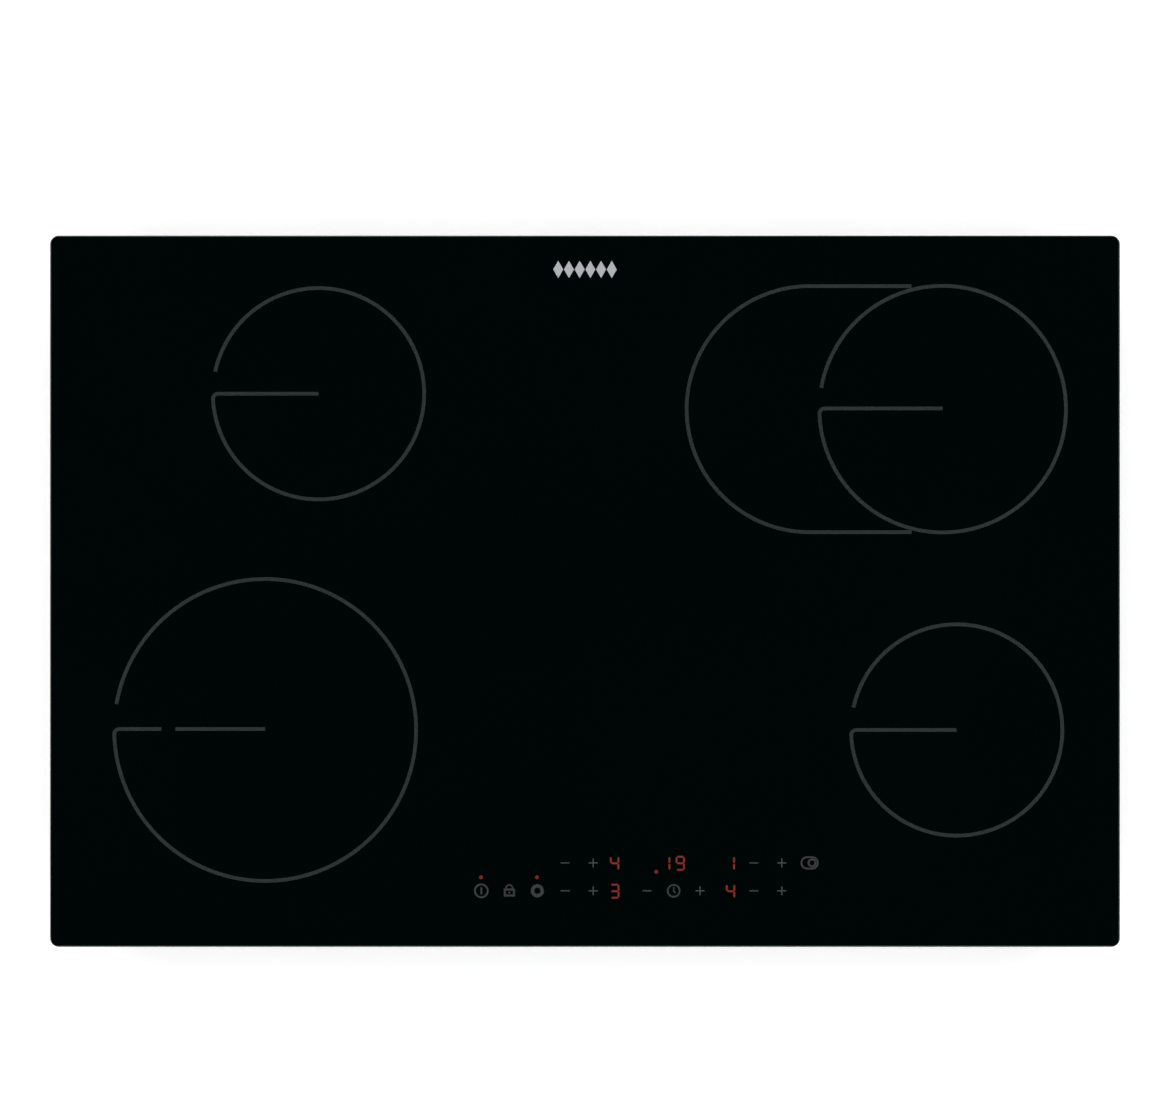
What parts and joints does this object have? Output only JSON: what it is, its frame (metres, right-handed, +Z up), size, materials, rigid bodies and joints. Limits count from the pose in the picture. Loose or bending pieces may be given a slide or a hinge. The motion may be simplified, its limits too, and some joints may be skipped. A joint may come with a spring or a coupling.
{
  "type": "radiant ceramic hob",
  "caption": "Built-in glass-ceramic hob with round and oval radiant zones, touch controls, a sheet-steel base, swivelling fixing clamps and a hinged terminal cover.",
  "frame": {"origin": "the underside of the base tray, below the middle of the glass", "axes": "+X to the user's right, +Y to the back, -Y to the front edge with the touch controls, +Z up out of the glass"},
  "size_m": [0.77, 0.512, 0.044],
  "materials": {
    "glass": "gloss",
    "foam_seal": "matte",
    "painted_steel": "satin",
    "zinc_steel": "satin",
    "plain_steel": "satin",
    "fibre": "matte",
    "heating_alloy": "matte",
    "limiter_ceramic": "matte",
    "black_plastic": "matte",
    "circuit_board": "satin",
    "display_face": "satin",
    "relay_case": "satin",
    "iron_core": "satin",
    "terminal_plastic": "satin",
    "inlet_rubber": "matte",
    "brass": "satin",
    "wire_sleeve": "matte"
  },
  "bodies": {
    "hob": {"base_tray": "zinc_steel", "cable_inlet_bush": "inlet_rubber", "control_carrier": "black_plastic", "display_front_left": "display_face", "display_front_right": "display_face", "display_rear_left": "display_face", "display_rear_right": "display_face", "display_timer": "display_face", "frame_screw_front_left": "plain_steel", "frame_screw_front_right": "plain_steel", "frame_screw_rear_left": "plain_steel", "frame_screw_rear_right": "plain_steel", "glass_carrier_frame": "painted_steel", "glass_ceramic_plate": "glass", "heater_dish_front_left": "zinc_steel", "heater_dish_front_right": "zinc_steel", "heater_dish_rear_left": "zinc_steel", "heater_dish_rear_right": "zinc_steel", "heater_element_front_left_inner": "heating_alloy", "heater_element_front_left_outer": "heating_alloy", "heater_element_front_right": "heating_alloy", "heater_element_rear_left": "heating_alloy", "heater_element_rear_right_inner": "heating_alloy", "heater_element_rear_right_outer": "heating_alloy", "heater_insulation_front_left": "fibre", "heater_insulation_front_right": "fibre", "heater_insulation_rear_left": "fibre", "heater_insulation_rear_right": "fibre", "heater_limiter_front_left": "limiter_ceramic", "heater_limiter_front_right": "limiter_ceramic", "heater_limiter_rear_left": "limiter_ceramic", "heater_limiter_rear_right": "limiter_ceramic", "heater_rail_left": "zinc_steel", "heater_rail_right": "zinc_steel", "heater_wiring_left": "wire_sleeve", "heater_wiring_right": "wire_sleeve", "mains_wiring": "wire_sleeve", "power_board": "circuit_board", "relay_1": "relay_case", "relay_2": "relay_case", "relay_3": "relay_case", "terminal_block": "terminal_plastic", "terminal_housing": "black_plastic", "touch_board": "circuit_board", "touch_ribbon": "wire_sleeve", "transformer": "iron_core", "worktop_seal": "foam_seal"},
    "terminal_cover": {"terminal_cover": "black_plastic"},
    "clamp_carriage_front_left": {"clamp_bush_front_left": "brass"},
    "clamp_screw_front_left": {"clamp_screw_front_left": "plain_steel"},
    "clamp_arm_front_left": {"clamp_arm_front_left": "zinc_steel"},
    "clamp_carriage_front_right": {"clamp_bush_front_right": "brass"},
    "clamp_screw_front_right": {"clamp_screw_front_right": "plain_steel"},
    "clamp_arm_front_right": {"clamp_arm_front_right": "zinc_steel"},
    "clamp_carriage_rear_left": {"clamp_bush_rear_left": "brass"},
    "clamp_screw_rear_left": {"clamp_screw_rear_left": "plain_steel"},
    "clamp_arm_rear_left": {"clamp_arm_rear_left": "zinc_steel"},
    "clamp_carriage_rear_right": {"clamp_bush_rear_right": "brass"},
    "clamp_screw_rear_right": {"clamp_screw_rear_right": "plain_steel"},
    "clamp_arm_rear_right": {"clamp_arm_rear_right": "zinc_steel"}
  },
  "joints": [
    {"name": "terminal_cover_hinge", "type": "hinge", "parent": "hob", "child": "terminal_cover", "pos_m": [0, 0.1718, 0.002], "axis": [-1, 0, 0], "range_deg": [0, 95]},
    {"name": "clamp_lift_front_left", "type": "slide", "parent": "hob", "child": "clamp_carriage_front_left", "axis": [0, 0, 1], "range_m": [0, 0.012]},
    {"name": "clamp_screw_turn_front_left", "type": "hinge", "parent": "clamp_carriage_front_left", "child": "clamp_screw_front_left", "pos_m": [-0.345, -0.228, 0.0055], "axis": [0, 0, 1], "range_deg": [0, 6171.43]},
    {"name": "clamp_arm_swing_front_left", "type": "hinge", "parent": "clamp_carriage_front_left", "child": "clamp_arm_front_left", "pos_m": [-0.345, -0.228, 0.0055], "axis": [0, 0, -1], "range_deg": [0, 90]},
    {"name": "clamp_lift_front_right", "type": "slide", "parent": "hob", "child": "clamp_carriage_front_right", "axis": [0, 0, 1], "range_m": [0, 0.012]},
    {"name": "clamp_screw_turn_front_right", "type": "hinge", "parent": "clamp_carriage_front_right", "child": "clamp_screw_front_right", "pos_m": [0.345, -0.228, 0.0055], "axis": [0, 0, 1], "range_deg": [0, 6171.43]},
    {"name": "clamp_arm_swing_front_right", "type": "hinge", "parent": "clamp_carriage_front_right", "child": "clamp_arm_front_right", "pos_m": [0.345, -0.228, 0.0055], "axis": [0, 0, 1], "range_deg": [0, 90]},
    {"name": "clamp_lift_rear_left", "type": "slide", "parent": "hob", "child": "clamp_carriage_rear_left", "axis": [0, 0, 1], "range_m": [0, 0.012]},
    {"name": "clamp_screw_turn_rear_left", "type": "hinge", "parent": "clamp_carriage_rear_left", "child": "clamp_screw_rear_left", "pos_m": [-0.345, 0.228, 0.0055], "axis": [0, 0, 1], "range_deg": [0, 6171.43]},
    {"name": "clamp_arm_swing_rear_left", "type": "hinge", "parent": "clamp_carriage_rear_left", "child": "clamp_arm_rear_left", "pos_m": [-0.345, 0.228, 0.0055], "axis": [0, 0, 1], "range_deg": [0, 90]},
    {"name": "clamp_lift_rear_right", "type": "slide", "parent": "hob", "child": "clamp_carriage_rear_right", "axis": [0, 0, 1], "range_m": [0, 0.012]},
    {"name": "clamp_screw_turn_rear_right", "type": "hinge", "parent": "clamp_carriage_rear_right", "child": "clamp_screw_rear_right", "pos_m": [0.345, 0.228, 0.0055], "axis": [0, 0, 1], "range_deg": [0, 6171.43]},
    {"name": "clamp_arm_swing_rear_right", "type": "hinge", "parent": "clamp_carriage_rear_right", "child": "clamp_arm_rear_right", "pos_m": [0.345, 0.228, 0.0055], "axis": [0, 0, -1], "range_deg": [0, 90]}
  ],
  "couplings": [
    {"joint": "clamp_screw_turn_front_left", "follows": "clamp_lift_front_left", "rad_per_m": 8976},
    {"joint": "clamp_screw_turn_front_right", "follows": "clamp_lift_front_right", "rad_per_m": 8976},
    {"joint": "clamp_screw_turn_rear_left", "follows": "clamp_lift_rear_left", "rad_per_m": 8976},
    {"joint": "clamp_screw_turn_rear_right", "follows": "clamp_lift_rear_right", "rad_per_m": 8976}
  ]
}
